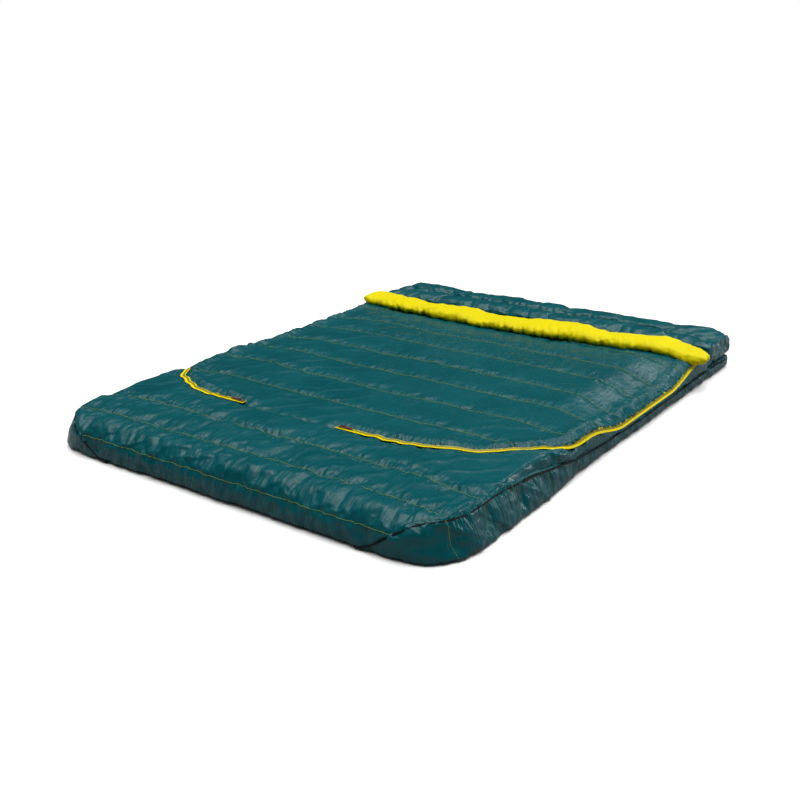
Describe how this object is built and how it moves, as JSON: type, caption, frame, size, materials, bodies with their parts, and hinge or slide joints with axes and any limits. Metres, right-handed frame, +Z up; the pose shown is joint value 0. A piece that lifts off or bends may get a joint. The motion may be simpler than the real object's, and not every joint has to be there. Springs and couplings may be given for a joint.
{
  "type": "two-person sleeping bag",
  "caption": "Wide rectangular padded sleeping bag lying flat, with a fold-back top quilt on curved side zips, a fold-over collar and a pillow sleeve.",
  "frame": {"origin": "on the ground under the middle of the footprint", "axes": "+Y along the bag to the head end, +X to the right-hand side seen from the foot, +Z up"},
  "size_m": [1.55, 2.1, 0.1518],
  "materials": {
    "shell": "glossy deep teal ripstop nylon, quilted",
    "lining": "matt lime-yellow woven lining",
    "filling": "white synthetic fibre batting, hidden inside",
    "piping": "near-black corded seam binding",
    "zip_tape": "lime-yellow woven zip tape",
    "zip_coil": "olive-yellow nylon zip coil",
    "zip_metal": "satin nickel-coated zip slider and stop",
    "pull": "red-brown moulded pull tab"
  },
  "bodies": {
    "bag": {"bottom_shell": "shell", "bottom_fill": "filling", "bottom_lining": "lining", "footbox_shell": "shell", "footbox_fill": "filling", "footbox_lining": "lining", "foot_end_panel": "shell", "sleeve_shell": "shell", "sleeve_fill": "filling", "sleeve_lining": "shell", "side_gusset_left": "shell", "side_panel_left": "shell", "seam_piping_left": "piping", "draft_tube_left": "lining", "zip_tape_outer_left": "zip_tape", "zip_coil_outer_left": "zip_coil", "zip_stop_left": "zip_metal", "side_gusset_right": "shell", "side_panel_right": "shell", "seam_piping_right": "piping", "draft_tube_right": "lining", "zip_tape_outer_right": "zip_tape", "zip_coil_outer_right": "zip_coil", "zip_stop_right": "zip_metal"},
    "quilt": {"quilt_shell": "shell", "quilt_fill": "filling", "quilt_lining": "lining", "zip_tape_inner_left": "zip_tape", "zip_coil_inner_left": "zip_coil", "zip_tape_inner_right": "zip_tape", "zip_coil_inner_right": "zip_coil"},
    "collar": {"collar_face": "lining", "collar_fill": "filling", "collar_back": "shell"},
    "foot_slider_left": {"slider_foot_left": "zip_metal"},
    "foot_pull_left": {"pull_foot_left": "pull"},
    "head_slider_left": {"slider_head_left": "zip_metal"},
    "head_pull_left": {"pull_head_left": "pull"},
    "foot_slider_right": {"slider_foot_right": "zip_metal"},
    "foot_pull_right": {"pull_foot_right": "pull"},
    "head_slider_right": {"slider_head_right": "zip_metal"},
    "head_pull_right": {"pull_head_right": "pull"}
  },
  "joints": [
    {"name": "quilt_fold", "type": "hinge", "parent": "bag", "child": "quilt", "pos_m": [0, -0.637, 0.124], "axis": [1, 0, 0], "range_deg": [0, 160]},
    {"name": "collar_fold", "type": "hinge", "parent": "quilt", "child": "collar", "pos_m": [0, 0.765, 0.1364], "axis": [-1, 0, 0], "range_deg": [0, 150]},
    {"name": "foot_slider_left_travel", "type": "slide", "parent": "quilt", "child": "foot_slider_left", "axis": [-1, 0, 0], "range_m": [0, 0.06]},
    {"name": "foot_pull_left_swing", "type": "hinge", "parent": "foot_slider_left", "child": "foot_pull_left", "pos_m": [-0.318, -0.615, 0.1264], "axis": [0, 1, 0], "range_deg": [0, 170]},
    {"name": "head_slider_left_travel", "type": "slide", "parent": "quilt", "child": "head_slider_left", "axis": [0, -1, 0], "range_m": [0, 0.85]},
    {"name": "head_pull_left_swing", "type": "hinge", "parent": "head_slider_left", "child": "head_pull_left", "pos_m": [-0.76486, 0.676, 0.10656], "axis": [-0.5736, 0, -0.8192], "range_deg": [0, 170]},
    {"name": "foot_slider_right_travel", "type": "slide", "parent": "quilt", "child": "foot_slider_right", "axis": [1, 0, 0], "range_m": [0, 0.06]},
    {"name": "foot_pull_right_swing", "type": "hinge", "parent": "foot_slider_right", "child": "foot_pull_right", "pos_m": [0.123, -0.615, 0.1264], "axis": [0, -1, 0], "range_deg": [0, 170]},
    {"name": "head_slider_right_travel", "type": "slide", "parent": "quilt", "child": "head_slider_right", "axis": [0, -1, 0], "range_m": [0, 0.85]},
    {"name": "head_pull_right_swing", "type": "hinge", "parent": "head_slider_right", "child": "head_pull_right", "pos_m": [0.76486, 0.676, 0.10656], "axis": [-0.5736, 0, 0.8192], "range_deg": [0, 170]}
  ]
}
